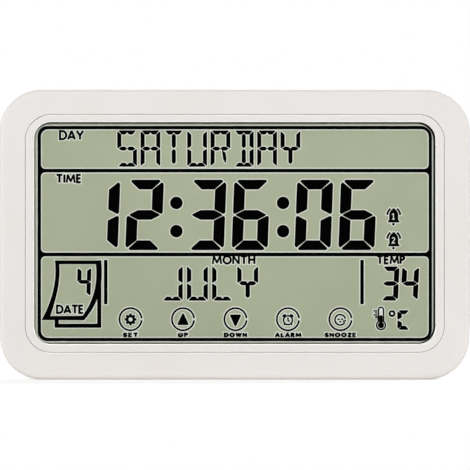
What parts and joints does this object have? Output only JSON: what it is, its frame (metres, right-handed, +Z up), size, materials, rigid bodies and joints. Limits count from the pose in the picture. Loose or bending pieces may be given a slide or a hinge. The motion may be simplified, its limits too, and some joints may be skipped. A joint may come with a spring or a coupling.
{
  "type": "dementia day clock",
  "caption": "Upright white tabletop clock with a large reflective day and time display, touch keys under its window, a fold-out stand and a battery bay.",
  "frame": {"origin": "middle of the case's underside, on the surface that it stands on", "axes": "+X to the right seen from the front, +Y from the display to the back, +Z up"},
  "size_m": [0.224, 0.028, 0.138],
  "materials": {
    "case_white": "satin moulded",
    "window_clear": "polished",
    "gasket_foam": "matt",
    "film_clear": "clear film",
    "display_face": "grey-green, fine grained",
    "display_glass": "polished",
    "reflector_foil": "matt",
    "frame_grey": "moulded",
    "zebra_rubber": "layered",
    "board_green": "solder mask",
    "chip_black": "resin",
    "can_steel": "drawn",
    "sleeve_dark": "sleeve",
    "socket_ivory": "moulded",
    "screw_steel": "zinc plated",
    "sounder_brass": "rolled",
    "sounder_ceramic": "silvered",
    "contact_nickel": "nickel plated",
    "cell_jacket": "printed sleeve",
    "wire_red": "insulation",
    "wire_black": "insulation",
    "foot_rubber": "matt"
  },
  "bodies": {
    "case": {"front_case": "case_white", "rear_case": "case_white", "window_lens": "window_clear", "lens_gasket": "gasket_foam", "touch_film": "film_clear", "touch_pads": "film_clear", "lcd_front_polariser": "display_face", "lcd_front_glass": "display_glass", "lcd_rear_glass": "display_glass", "lcd_reflector": "reflector_foil", "lcd_frame": "frame_grey", "zebra_strip": "zebra_rubber", "main_board": "board_green", "display_chip": "chip_black", "touch_chip": "chip_black", "quartz_crystal": "can_steel", "temperature_sensor": "chip_black", "board_capacitors": "sleeve_dark", "flex_connector": "socket_ivory", "frame_screws": "screw_steel", "board_screws": "screw_steel", "case_screws": "screw_steel", "piezo_plate": "sounder_brass", "piezo_ceramic": "sounder_ceramic", "buzzer_leads": "wire_red", "battery_upper": "cell_jacket", "battery_lower": "cell_jacket", "battery_contact_positive": "contact_nickel", "battery_contact_negative": "contact_nickel", "battery_contact_link": "contact_nickel", "battery_lead_red": "wire_red", "battery_lead_black": "wire_black"},
    "stand": {"stand_leg": "case_white", "stand_foot_pad": "foot_rubber"},
    "door": {"battery_door": "case_white", "battery_door_latch": "case_white"}
  },
  "joints": [
    {"name": "stand_hinge", "type": "hinge", "parent": "case", "child": "stand", "pos_m": [0, 0.0102, 0.086], "axis": [1, 0, 0], "range_deg": [0, 34]},
    {"name": "battery_door_hinge", "type": "hinge", "parent": "case", "child": "door", "pos_m": [-0.062, 0.014, 0.03], "axis": [-1, 0, 0], "range_deg": [0, 60], "deforming": ["battery_door_latch"]}
  ]
}
